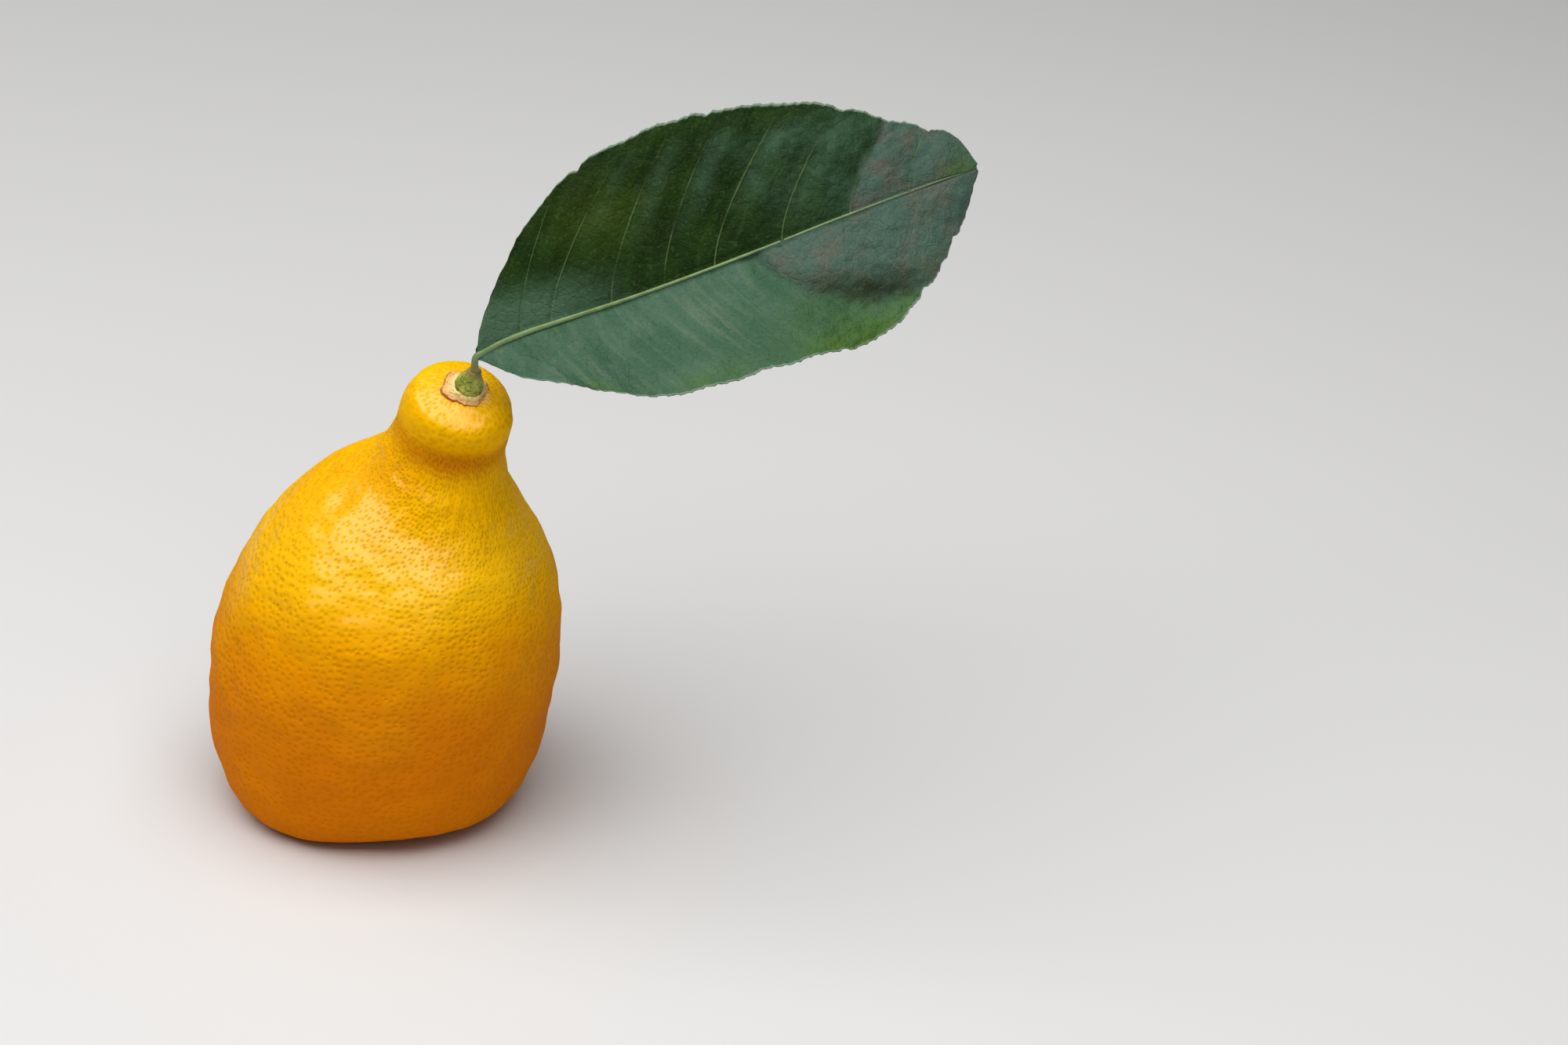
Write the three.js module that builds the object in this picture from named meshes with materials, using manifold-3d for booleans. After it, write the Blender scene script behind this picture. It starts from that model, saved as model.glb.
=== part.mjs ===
// A lemon standing on its blossom end, as picked, with its calyx, a stub of stem and one leaf.
// Millimetres, +Z up, +X to the right and -Y to the front, where the knob and the leaf's face look.
// The origin is on the small flat spot that the fruit rests on, under the middle of its body.
import * as THREE from "three";
import { mergeVertices } from "three/addons/utils/BufferGeometryUtils.js";
import Module from "manifold-3d";

const wasm = await Module();
wasm.setup();

// Driving dimensions: the fruit's height and half width, the calyx, the stem and the leaf
const FRUIT_HEIGHT = 86;
const FRUIT_RADIUS = 32.2;
const CALYX_RADIUS = 4.1;
const STEM_RADIUS = 2.45;
const STEM_HEIGHT = 4.3;
const LEAF_LENGTH = 94;
const BLADE_THICKNESS = 0.8;
const PETIOLE_RADIUS = 0.65;
const TOUCHING_GAP = 0.3;

// What each piece looks like: colour and roughness
const FRUIT_FINISH = { color: 0xf0b813, roughness: 0.38 };
const CALYX_FINISH = { color: 0xc08a48, roughness: 0.8 };
const STEM_FINISH = { color: 0x7d9433, roughness: 0.6 };
const LEAF_FINISH = { color: 0x4a6b3c, roughness: 0.5 };

const TURN = 2 * Math.PI;
const degrees = THREE.MathUtils.degToRad;
const bell = (distance, width) => Math.exp(-((distance / width) ** 2));
const pastOnly = (value, limit) => Math.max(value - limit, 0);

/** The angle from a direction in degrees to an angle in radians, from minus to plus half a turn. */
function turnFrom(direction, angle) {
  return THREE.MathUtils.euclideanModulo(angle - degrees(direction) + Math.PI, TURN) - Math.PI;
}

/** The row at share t, 0 to 1, of a list of rows, on a smooth Catmull-Rom line through all of them. */
function rowAt(rows, t) {
  const last = rows.length - 1;
  const place = THREE.MathUtils.clamp(t, 0, 1) * last;
  const from = Math.min(Math.floor(place), last - 1);
  const f = place - from;
  const before = (column) => (from > 0 ? rows[from - 1][column] : 2 * rows[0][column] - rows[1][column]);
  const after = (column) =>
    from + 2 <= last ? rows[from + 2][column] : 2 * rows[last][column] - rows[last - 1][column];
  return rows[from].map((start, column) => {
    const end = rows[from + 1][column];
    const [p, q] = [before(column), after(column)];
    const slope = end - p;
    const bend = 2 * p - 5 * start + 4 * end - q;
    const twist = 3 * start - p - 3 * end + q;
    return 0.5 * (2 * start + slope * f + bend * f * f + twist * f * f * f);
  });
}

/** Shares 0 to 1 along a list of rows, with the given number of steps between each row and the next. */
function sharesAlong(rows, stepsBetween) {
  const shares = [];
  for (let row = 0; row < rows.length - 1; row++) {
    for (let step = 0; step < stepsBetween(row); step++) {
      shares.push((row + step / stepsBetween(row)) / (rows.length - 1));
    }
  }
  return [...shares, 1];
}

function geometryOf(points, index) {
  const geometry = new THREE.BufferGeometry();
  const positions = points.flatMap((point) => [point.x, point.y, point.z]);
  geometry.setAttribute("position", new THREE.Float32BufferAttribute(positions, 3));
  geometry.setIndex(index);
  return geometry;
}

/** A closed skin: rings of points, anticlockwise seen from their far end, closed by a point at each end. */
function skin(first, rings, last) {
  const sides = rings[0].length;
  const end = 1 + rings.length * sides;
  const at = (ring, side) => 1 + ring * sides + (side % sides);
  const index = [];
  for (let side = 0; side < sides; side++) {
    index.push(0, at(0, side + 1), at(0, side));
    for (let ring = 0; ring < rings.length - 1; ring++) {
      const [a, b] = [at(ring, side), at(ring, side + 1)];
      const [c, d] = [at(ring + 1, side + 1), at(ring + 1, side)];
      index.push(a, b, c, a, c, d);
    }
    index.push(at(rings.length - 1, side), at(rings.length - 1, side + 1), end);
  }
  return geometryOf([first, ...rings.flat(), last], index);
}

/** A closed sheet with two faces on one grid, split into triangles alike, and a wall round its edge. */
function sheet(rows, columns, facePoint, backPoint) {
  const count = rows * columns;
  const at = (row, column) => row * columns + column;
  const points = [];
  for (const pointAt of [facePoint, backPoint]) {
    for (let row = 0; row < rows; row++) {
      for (let column = 0; column < columns; column++) points.push(pointAt(row, column));
    }
  }
  const index = [];
  for (let row = 0; row < rows - 1; row++) {
    for (let column = 0; column < columns - 1; column++) {
      const [a, b] = [at(row, column), at(row + 1, column)];
      const [c, d] = [at(row + 1, column + 1), at(row, column + 1)];
      index.push(a, b, c, a, c, d);
      index.push(count + a, count + c, count + b, count + a, count + d, count + c);
    }
  }
  const edge = [];
  for (let row = 0; row < rows - 1; row++) edge.push(at(row, 0));
  for (let column = 0; column < columns - 1; column++) edge.push(at(rows - 1, column));
  for (let row = rows - 1; row > 0; row--) edge.push(at(row, columns - 1));
  for (let column = columns - 1; column > 0; column--) edge.push(at(0, column));
  edge.forEach((a, place) => {
    const b = edge[(place + 1) % edge.length];
    index.push(a, count + b, b, a, count + a, count + b);
  });
  return geometryOf(points, index);
}

function toSolid(geometry) {
  const merged = mergeVertices(geometry);
  return new wasm.Manifold(
    new wasm.Mesh({
      numProp: 3,
      vertProperties: merged.attributes.position.array,
      triVerts: new Uint32Array(merged.index.array),
    }),
  );
}

function toGeometry(solid) {
  const mesh = solid.getMesh();
  const geometry = new THREE.BufferGeometry();
  geometry.setAttribute("position", new THREE.Float32BufferAttribute(mesh.vertProperties, 3));
  geometry.setIndex([...mesh.triVerts]);
  return geometry;
}

function piece(name, geometry, finish) {
  const material = new THREE.MeshStandardMaterial({ ...finish, metalness: 0 });
  const mesh = new THREE.Mesh(geometry, material);
  mesh.name = name;
  return mesh;
}

// The fruit is one body, drawn as slices from the flat spot up through the neck to the knob's top.
// Each slice: centre x and y, height and radius as shares of the fruit's, depth as a share of width,
// and how far it leans to the right and to the front, in degrees.
const SLICES = [
  [-0.3, 0.0, 0.0, 0.0, 1, 0, 0],
  [-0.3, 0.0, 0.0, 0.34, 1, 0, 0],
  [-0.3, 0.0, 0.008, 0.64, 0.98, 0, 0],
  [-0.2, 0.1, 0.047, 0.84, 0.96, 0, 0],
  [0.0, 0.4, 0.118, 0.936, 0.96, 0, 0],
  [0.5, 0.8, 0.222, 0.985, 0.975, 1, 0],
  [1.6, 1.2, 0.36, 1.0, 0.99, 3, 0],
  [4.0, 1.4, 0.506, 0.929, 1, 6, 0],
  [7.2, 1.5, 0.634, 0.764, 1, 11, 2],
  [10.9, 0.8, 0.726, 0.534, 1, 18, 6],
  [12.2, -0.5, 0.791, 0.385, 1, 20, 12],
  [13.3, -2.0, 0.856, 0.312, 1, 14, 20],
  [14.1, -3.6, 0.923, 0.318, 1, 12, 24],
  [15.4, -5.0, 0.977, 0.27, 1, 14, 22],
  [16.1, -5.4, 0.9945, 0.155, 1, 14, 22],
  [16.1, -5.4, 0.992, 0.0, 1, 14, 22],
];

// Hollows and swellings that make the skin uneven: direction in degrees from +X, slice number,
// spread in degrees and in slices, and height in millimetres.
const SWELLINGS = [
  [-90, 2.4, 60, 1.0, -0.5],
  [-126, 1.75, 30, 1.25, 3.6],
  [-138, 2.6, 30, 1.2, 0.5],
  [-40, 2.6, 30, 1.2, 0.7],
  [-20, 4.6, 30, 1.2, -0.4],
  [165, 6.6, 40, 1.8, -0.4],
  [20, 7.0, 40, 1.6, -0.5],
  [-60, 8.0, 28, 1.2, 0.3],
  [-135, 8.2, 30, 1.2, 0.4],
  [120, 8.4, 35, 1.2, 0.5],
  [175, 9.4, 40, 0.6, -1.0],
  [-100, 8.4, 20, 0.9, -0.9],
  [-90, 10.1, 60, 0.9, 1.5],
  [180, 10.9, 45, 0.7, 0.8],
  [-90, 11.85, 60, 0.45, -1.3],
  [-85, 13.0, 70, 0.55, 0.6],
];
const UNEVEN_FROM_RADIUS = 8;
const FRUIT_SIDES = 48;
const FRUIT_STEPS = 3;

function swelling(slice, angle) {
  return SWELLINGS.reduce((sum, [direction, middle, spread, reach, height]) => {
    return sum + height * bell(turnFrom(direction, angle), degrees(spread)) * bell(slice - middle, reach);
  }, 0);
}

function fruitRing(share) {
  const [x, y, up, wide, depth, right, front] = rowAt(SLICES, share);
  const centre = new THREE.Vector3(x, y, up * FRUIT_HEIGHT);
  const lean = new THREE.Euler(degrees(front), degrees(right), 0);
  const radius = Math.max(wide, 0) * FRUIT_RADIUS;
  return Array.from({ length: FRUIT_SIDES }, (_, side) => {
    const angle = (TURN * side) / FRUIT_SIDES;
    const uneven = swelling(share * (SLICES.length - 1), angle) * Math.min(radius / UNEVEN_FROM_RADIUS, 1);
    const reach = radius + uneven;
    const point = new THREE.Vector3(reach * Math.cos(angle), reach * depth * Math.sin(angle), 0);
    point.applyEuler(lean).add(centre);
    point.z = Math.max(point.z, 0);
    return point;
  });
}

function fruitEnd(share) {
  const [x, y, up] = rowAt(SLICES, share);
  return new THREE.Vector3(x, y, up * FRUIT_HEIGHT);
}

function makeFruit() {
  const stepsBetween = (row) => (row === 0 ? 1 : FRUIT_STEPS);
  const shares = sharesAlong(SLICES, stepsBetween).slice(1, -1);
  return piece("fruit", skin(fruitEnd(0), shares.map(fruitRing), fruitEnd(1)), FRUIT_FINISH);
}

// The seat is the knob's top. What stands on it is drawn in the seat's own frame, +Z out of the knob.
// The stem is a little off the calyx's middle, and its tip a little off its foot, to the right and back.
const [SEAT_RIGHT, SEAT_FRONT] = SLICES.at(-1).slice(-2);
const SEAT_HEIGHT = 0.2;
const CROWN_SIDES = 40;
const STEM_FOOT = new THREE.Vector2(0.25, -0.45);
const STEM_TIP = new THREE.Vector2(0.4, -0.1);

function crownPoint(centre, height) {
  return new THREE.Vector3(centre.x, centre.y, height);
}

function crownRing(centre, height, sides, radiusAt) {
  return Array.from({ length: sides }, (_, side) => {
    const angle = (TURN * side) / sides;
    const radius = radiusAt(angle);
    const around = new THREE.Vector3(radius * Math.cos(angle), radius * Math.sin(angle), 0);
    return crownPoint(centre, height).add(around);
  });
}

// The calyx is a woody collar with five blunt lobes and a raised rim round the foot of the stem.
// Each lobe: its direction in degrees and its reach as a share of the calyx's radius.
const LOBES = [
  [26, 1.04],
  [81, 1.0],
  [140, 1.09],
  [205, 1.12],
  [297, 0.98],
];
const LOBE_SPREAD = 34;
const BETWEEN_LOBES = 0.84;
const CALYX_BOTTOM = SEAT_HEIGHT + TOUCHING_GAP;
const CALYX_FLOOR = 0.6;

// The collar's section, from its underside round its edge and over the rim: each ring's place between
// the foot of the stem, 0, and the edge, 1, and its height over the underside.
const COLLAR_SECTION = [
  [0, 0],
  [1, 0],
  [1, 0.55],
  [0.55, 0.75],
  [0.3, 1.25],
  [0.1, 1.5],
  [0, 1.35],
  [0, CALYX_FLOOR],
];

function lobedRadius(angle) {
  const reach = LOBES.reduce((most, [direction, share]) => {
    const lobe = (share - BETWEEN_LOBES) * bell(turnFrom(direction, angle), degrees(LOBE_SPREAD));
    return Math.max(most, BETWEEN_LOBES + lobe);
  }, 0);
  return CALYX_RADIUS * reach;
}

function makeCalyx() {
  const inside = STEM_RADIUS + TOUCHING_GAP;
  const rings = COLLAR_SECTION.map(([out, up]) => {
    const centre = STEM_FOOT.clone().multiplyScalar(1 - out);
    const radiusAt = (angle) => THREE.MathUtils.lerp(inside, lobedRadius(angle), out);
    return crownRing(centre, CALYX_BOTTOM + up, CROWN_SIDES, radiusAt);
  });
  const bottom = crownPoint(STEM_FOOT, CALYX_BOTTOM);
  const floor = crownPoint(STEM_FOOT, CALYX_BOTTOM + CALYX_FLOOR);
  return piece("calyx", skin(bottom, rings, floor), CALYX_FINISH);
}

// The stem is the green cone left on the fruit when it is clipped, leaning a little as it narrows.
// Each ring: height as a share of the stem's and radius as a share of its widest.
const STEM_RINGS = [
  [0.0, 0.95],
  [0.06, 1.0],
  [0.18, 1.0],
  [0.34, 0.93],
  [0.5, 0.8],
  [0.66, 0.68],
  [0.82, 0.56],
  [0.92, 0.48],
  [1.0, 0.4],
];
const STEM_SIDES = 24;
const STEM_BOTTOM = CALYX_BOTTOM + CALYX_FLOOR + TOUCHING_GAP;
const STEM_TOP = STEM_BOTTOM + STEM_HEIGHT;

function makeStem() {
  const rings = STEM_RINGS.map(([up, wide]) => {
    const centre = STEM_FOOT.clone().lerp(STEM_TIP, up * up);
    return crownRing(centre, STEM_BOTTOM + STEM_HEIGHT * up, STEM_SIDES, () => STEM_RADIUS * wide);
  });
  const bottom = crownPoint(STEM_FOOT, STEM_BOTTOM);
  const top = crownPoint(STEM_TIP, STEM_TOP);
  return piece("stem", skin(bottom, rings, top), STEM_FINISH);
}

function makeCrown() {
  const crown = new THREE.Group();
  crown.position.copy(fruitEnd(1));
  crown.rotation.set(degrees(SEAT_FRONT), degrees(SEAT_RIGHT), 0);
  crown.add(makeCalyx(), makeStem());
  crown.updateMatrixWorld();
  return crown;
}

// The leaf is drawn in a frame of its own: +X along its midrib, +Y across to its upper half, +Z out of
// its face. It leans back from upright and its midrib rises to the right.
const LEAF_LEAN = 27;
const LEAF_RISE = 24.3;
const LEAF_PLACE = [18.1, -9.0, 93.3];

// Each row follows a side vein: where it leaves the midrib, how many veins lie behind it, the midrib's
// own bend across, and where it meets the upper and the lower margin, along and across.
const VEIN_ROWS = [
  [0.0, 0.0, 0.0, 0.5, 0.8, 0.5, 0.6],
  [1.4, 0.25, 0.3, 2.3, 3.9, 2.2, 2.2],
  [3.1, 0.5, 0.5, 5.6, 7.7, 3.9, 3.8],
  [4.6, 0.7, 0.7, 9.4, 11.7, 5.6, 5.3],
  [6.2, 0.85, 0.8, 15.0, 16.8, 8.4, 7.5],
  [9.0, 1.0, 0.8, 23.8, 22.3, 13.2, 10.2],
  [11.6, 1.5, 0.7, 31.6, 24.8, 16.8, 12.5],
  [14.6, 2.0, 0.6, 38.8, 25.7, 20.8, 15.0],
  [20.0, 2.5, 0.2, 43.2, 25.8, 28.0, 18.4],
  [25.6, 3.0, -0.2, 47.2, 25.7, 35.6, 20.1],
  [35.3, 4.0, -0.5, 55.6, 24.7, 46.0, 20.7],
  [44.5, 5.0, -0.6, 66.0, 22.1, 55.8, 21.6],
  [57.0, 6.0, -0.4, 74.6, 18.5, 66.6, 22.1],
  [69.8, 7.0, -0.1, 82.0, 13.6, 77.0, 17.4],
  [81.0, 8.0, 0.1, 88.2, 10.0, 85.2, 10.8],
  [88.0, 8.6, 0.1, 92.6, 6.4, 90.2, 5.6],
  [94.0, 9.0, 0.0, 94.6, 0.8, 94.3, 0.4],
];
const VEIN_CURVE = 1.35;
const HALF_COLUMNS = 5;
const ROW_STEPS = 3;
const END_ROW_STEPS = 2;
const END_ROWS = [5, 13];

// The blade's relief, in millimetres and in slopes: the midrib's arch and the droop of the tip, each
// half's slope at the foot and at the tip, the skin between two veins, the margin's waves and a crease
const MIDRIB_ARCH = 5.5;
const TIP_DROOP = 12;
const UPPER_SLOPES = [0.1, -0.18];
const LOWER_SLOPES = [0.85, -0.1];
const LOWER_FLATTENING = { from: 0.35, reach: 0.36 };
const VALLEY_WIDTH = 2;
const MARGIN_SCALLOP = 0.35;
const VEIN_PUCKER = 0.45;
const MARGIN_WAVES = { upper: 0.65, lower: 1.3, length: 24 };
const FULL_RELIEF_ACROSS = 6;
const CREASE = { from: 50, to: 72, fadeIn: 4, fadeOut: 8, across: 18, bend: 9, depth: 1.7, width: 3.2 };

/** How far the midrib stands out of the leaf's flat: an arch that ends in a drooping tip. */
function archAt(along) {
  const share = THREE.MathUtils.clamp(along / LEAF_LENGTH, 0, 1);
  return MIDRIB_ARCH * Math.sin(Math.PI * share) - TIP_DROOP * share ** 3;
}

/** Each half rises from the midrib's valley. The lower half folds far forward, and flattens to the tip. */
function foldAt(along, across, isUpper) {
  const share = along / LEAF_LENGTH;
  const flattening = 1 - bell(pastOnly(share, LOWER_FLATTENING.from), LOWER_FLATTENING.reach);
  const slope = isUpper
    ? THREE.MathUtils.lerp(...UPPER_SLOPES, share)
    : THREE.MathUtils.lerp(...LOWER_SLOPES, flattening);
  return slope * (Math.hypot(across, VALLEY_WIDTH) - VALLEY_WIDTH);
}

/** A crease in the lower half that leaves the midrib, bends and runs on along the margin. */
function creaseAt(along, across) {
  const middle = CREASE.across * (1 - Math.exp(-pastOnly(along, CREASE.from) / CREASE.bend));
  const fadeIn = bell(pastOnly(CREASE.from + CREASE.fadeIn, along), CREASE.fadeIn);
  const fadeOut = bell(pastOnly(along, CREASE.to), CREASE.fadeOut);
  return -CREASE.depth * bell(across - middle, CREASE.width) * fadeIn * fadeOut;
}

/** A point of the blade, in the upper or the lower half: out is 0 at the midrib and 1 at the margin. */
function bladePoint(share, isUpper, out, offset) {
  const [along, veins, bend, upAlong, upAcross, lowAlong, lowAcross] = rowAt(VEIN_ROWS, share);
  const [marginAlong, marginAcross] = isUpper ? [upAlong, upAcross] : [lowAlong, lowAcross];
  const relief = Math.min(marginAcross / FULL_RELIEF_ACROSS, 1);
  const betweenVeins = relief * Math.sin(Math.PI * veins) ** 2;
  const x = THREE.MathUtils.lerp(along, marginAlong, out ** VEIN_CURVE);
  const across = (marginAcross + MARGIN_SCALLOP * betweenVeins) * out;
  const pucker = VEIN_PUCKER * betweenVeins * Math.sin(Math.PI * out);
  const phase = (TURN * x) / MARGIN_WAVES.length;
  const swing = isUpper ? MARGIN_WAVES.upper * Math.cos(phase) : MARGIN_WAVES.lower * Math.sin(phase);
  const crease = isUpper ? 0 : creaseAt(x, across);
  const z = archAt(x) + foldAt(x, across, isUpper) + pucker + swing * relief * out ** 2 + crease + offset;
  return new THREE.Vector3(x, bend * (1 - out) + (isUpper ? across : -across), z);
}

function makeBlade() {
  const inEndRows = (row) => row < END_ROWS[0] || row > END_ROWS[1];
  const shares = sharesAlong(VEIN_ROWS, (row) => (inEndRows(row) ? END_ROW_STEPS : ROW_STEPS));
  const columns = 2 * HALF_COLUMNS + 1;
  const pointAt = (offset) => (row, column) => {
    const step = column - HALF_COLUMNS;
    return bladePoint(shares[row], step >= 0, Math.abs(step) / HALF_COLUMNS, offset);
  };
  return sheet(shares.length, columns, pointAt(BLADE_THICKNESS / 2), pointAt(-BLADE_THICKNESS / 2));
}

// The petiole springs from the stem's tip and runs on as the midrib, a round rib that stands out of both
// faces and thins to the leaf's tip.
const PETIOLE_GAP = 0.5;
const RIB_SHARES = [0, 0.07, 0.14, 0.22, 0.3, 0.4, 0.5, 0.6, 0.7, 0.8, 0.88];
const RIB_SIDES = 8;
const RIB_SEGMENTS = 36;
const RIB_END_RADIUS = 0.5;

function makeRib(foot) {
  const spine = RIB_SHARES.map((share) => bladePoint(share, true, 0, 0));
  const path = new THREE.CatmullRomCurve3([foot, ...spine]);
  const { normals, binormals } = path.computeFrenetFrames(RIB_SEGMENTS);
  const centres = path.getSpacedPoints(RIB_SEGMENTS);
  const rings = centres.map((centre, segment) => {
    const radius = THREE.MathUtils.lerp(PETIOLE_RADIUS, RIB_END_RADIUS, segment / RIB_SEGMENTS);
    return Array.from({ length: RIB_SIDES }, (_, side) => {
      const angle = (TURN * side) / RIB_SIDES;
      const point = centre.clone().addScaledVector(normals[segment], radius * Math.cos(angle));
      return point.addScaledVector(binormals[segment], radius * Math.sin(angle));
    });
  });
  return skin(centres[0], rings, centres.at(-1));
}

function makeLeaf(crown) {
  const place = new THREE.Vector3(...LEAF_PLACE);
  const turn = new THREE.Euler(degrees(90 - LEAF_LEAN), 0, degrees(LEAF_RISE));
  const intoLeaf = new THREE.Matrix4().makeRotationFromEuler(turn).setPosition(place).invert();
  const foot = crown.localToWorld(crownPoint(STEM_TIP, STEM_TOP + PETIOLE_GAP));
  const solid = toSolid(makeBlade()).add(toSolid(makeRib(foot.applyMatrix4(intoLeaf))));
  const leaf = piece("leaf", toGeometry(solid), LEAF_FINISH);
  leaf.position.copy(place);
  leaf.rotation.copy(turn);
  return leaf;
}

const lemon = new THREE.Group();
const crown = makeCrown();
lemon.add(makeFruit(), crown, makeLeaf(crown));

export default lemon;
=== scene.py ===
"""A lemon that stands on its blossom end on a pale table, with its calyx, a stub of stem and one leaf.

The sections follow the fruit from the skin up. They work in millimetres, +Z up and -Y to the front, where the camera
stands, with the origin under the middle of the fruit. A mesh is put into the scene in metres.
"""

import bpy
import numpy as np
from mathutils import Matrix, Vector


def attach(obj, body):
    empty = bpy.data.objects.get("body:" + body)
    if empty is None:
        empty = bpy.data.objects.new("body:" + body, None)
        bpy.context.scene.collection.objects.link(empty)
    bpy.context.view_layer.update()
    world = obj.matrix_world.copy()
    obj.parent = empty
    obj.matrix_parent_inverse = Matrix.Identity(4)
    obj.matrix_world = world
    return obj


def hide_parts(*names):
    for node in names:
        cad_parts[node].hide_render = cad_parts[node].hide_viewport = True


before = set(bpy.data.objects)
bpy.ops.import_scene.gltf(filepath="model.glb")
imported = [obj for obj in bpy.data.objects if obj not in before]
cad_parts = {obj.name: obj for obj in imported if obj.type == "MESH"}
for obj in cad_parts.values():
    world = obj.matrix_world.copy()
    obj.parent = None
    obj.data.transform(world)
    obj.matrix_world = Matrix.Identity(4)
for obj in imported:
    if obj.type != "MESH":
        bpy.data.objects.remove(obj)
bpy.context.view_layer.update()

# The fruit
# One berry with a thick, waxy rind full of oil glands. It swells in the middle, draws in to a short neck and ends
# in a round knob, and it stands on the small flat spot at its blossom end.
FRUIT_HEIGHT = 86.0
FRUIT_RADIUS = 32.2
FRUIT_RINGS = 272
FRUIT_SIDES = 348
UNEVEN_FROM_RADIUS = 8.0
FINE_STEPS = 4001

# Each slice: centre x and y, height and radius as shares of the fruit's, depth as a share of width, and how far it
# leans to the right and to the front, in degrees
SLICES = np.array([
    [-0.3, 0.0, 0.0, 0.0, 1, 0, 0],
    [-0.3, 0.0, 0.0, 0.34, 1, 0, 0],
    [-0.3, 0.0, 0.008, 0.64, 0.98, 0, 0],
    [-0.2, 0.1, 0.047, 0.84, 0.96, 0, 0],
    [0.0, 0.4, 0.118, 0.936, 0.96, 0, 0],
    [0.5, 0.8, 0.222, 0.985, 0.975, 1, 0],
    [1.6, 1.2, 0.36, 1.0, 0.99, 3, 0],
    [4.0, 1.4, 0.506, 0.929, 1, 6, 0],
    [7.2, 1.5, 0.634, 0.764, 1, 11, 2],
    [10.9, 0.8, 0.726, 0.534, 1, 18, 6],
    [12.2, -0.5, 0.791, 0.385, 1, 20, 12],
    [13.3, -2.0, 0.856, 0.312, 1, 14, 20],
    [14.1, -3.6, 0.923, 0.318, 1, 12, 24],
    [15.4, -5.0, 0.977, 0.27, 1, 14, 22],
    [16.1, -5.4, 0.9945, 0.155, 1, 14, 22],
    [16.1, -5.4, 0.992, 0.0, 1, 14, 22],
])

# Hollows and swellings: direction in degrees from +X, slice number, spread in degrees and in slices, and height
SWELLINGS = [
    [-90, 2.4, 60, 1.0, -0.5],
    [-126, 1.75, 30, 1.25, 3.6],
    [-138, 2.6, 30, 1.2, 0.5],
    [-40, 2.6, 30, 1.2, 0.7],
    [-20, 4.6, 30, 1.2, -0.4],
    [165, 6.6, 40, 1.8, -0.4],
    [20, 7.0, 40, 1.6, -0.5],
    [-60, 8.0, 28, 1.2, 0.3],
    [-135, 8.2, 30, 1.2, 0.4],
    [120, 8.4, 35, 1.2, 0.5],
    [175, 9.4, 40, 0.6, -1.0],
    [-100, 8.4, 20, 0.9, -0.9],
    [-90, 10.1, 60, 0.9, 1.5],
    [180, 10.9, 45, 0.7, 0.8],
    [-90, 11.85, 60, 0.45, -1.3],
    [-85, 13.0, 70, 0.55, 0.6],
]

# Where the neck, the knob, the shoulder and the crease under the knob lie: slices, or millimetres up, and the spread
NECK_SLICE, NECK_SPREAD = 10.2, 1.2
KNOB_FROM_SLICE, KNOB_TO_SLICE = 11.6, 12.3
SHOULDER_HEIGHT, SHOULDER_SPREAD = 54, 8
CREASE_SLICE, CREASE_SPREAD = 11.6, 0.42
CREASE_DIRECTION, CREASE_TURN = -85, 85

# The rind's relief: how high or deep each kind is, how long its waves are, and the heights over which it sets in
LUMP_HEIGHT, LUMP_LENGTH = 0.15, 15
DENT_HEIGHT, DENT_LENGTH = 0.08, 6
KNOB_LUMP_HEIGHT, KNOB_LUMP_LENGTH = 0.03, 2.6
FOLD_HEIGHT, NECK_LINE_HEIGHT, LINE_LENGTH = 0.03, 0.1, 1.7
FOLD_STRETCH, NECK_LINE_STRETCH = (3.2, 3.2, 1), (1, 1, 3.5)
PIT_PITCH, PIT_RADIUS, PIT_DEPTH = 1.45, 0.42, 0.085
PITS_SET_IN, RELIEF_SETS_IN = (0.5, 3), (0.2, 4)
SKIN_INSET = 0.2

# The shares of the dents and pits that the knob and the neck lose, and how far their pores close
KNOB_DENTS_LOST, KNOB_PITS_LOST, NECK_PITS_LOST = 0.5, 0.2, 0.6
KNOB_CLOSED, NECK_CLOSED = 0.2, 0.15

# The wax is thick where the skin looks up and to the front by these shares of its normal
WAX_UP, WAX_FRONT = (0.3, 0.72), (-0.15, 0.4)

# The pores in the finish: their pitch, and the radius at which the body's skin and the knob's are unrolled
PORE_PITCH = 1.3
BODY_RADIUS, KNOB_RADIUS = 28.0, 10.5

# The rind's deeper colour, painted shade towards the base: golden above the first height, amber below the second,
# the edge uneven by the third, in metres
GOLD_ABOVE, AMBER_BELOW, UNEVEN_EDGE = 0.067, 0.018, 0.024


def bell(distance, width):
    """1 at no distance, falling as exp(-(distance / width) squared)."""
    return np.exp(-((distance / width) ** 2))


def ramp(value, start, end):
    """0 before start and 1 past end, with a smooth S between them."""
    share = np.clip((value - start) / (end - start), 0, 1)
    return share * share * (3 - 2 * share)


def turn_from(direction, angle):
    """How far an angle in radians lies from a direction in degrees, -pi to pi."""
    return (angle - np.radians(direction) + np.pi) % (2 * np.pi) - np.pi


def along_rows(rows, share):
    """The row at each share, 0 to 1, of a table, on a smooth line through its rows: between two rows it is a cubic
    whose slope at each row is half the step between that row's neighbours.
    """
    rows = np.asarray(rows, float)
    rows = np.vstack([2 * rows[0] - rows[1], rows, 2 * rows[-1] - rows[-2]])
    place = np.clip(share, 0, 1) * (len(rows) - 3)
    start = np.minimum(place.astype(int), len(rows) - 4)
    f = (place - start)[..., None]
    p, a, b, q = (rows[start + step] for step in range(4))
    return 0.5 * (2 * a + (b - p) * f + (2 * p - 5 * a + 4 * b - q) * f**2 + (3 * a - p - 3 * b + q) * f**3)


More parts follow.
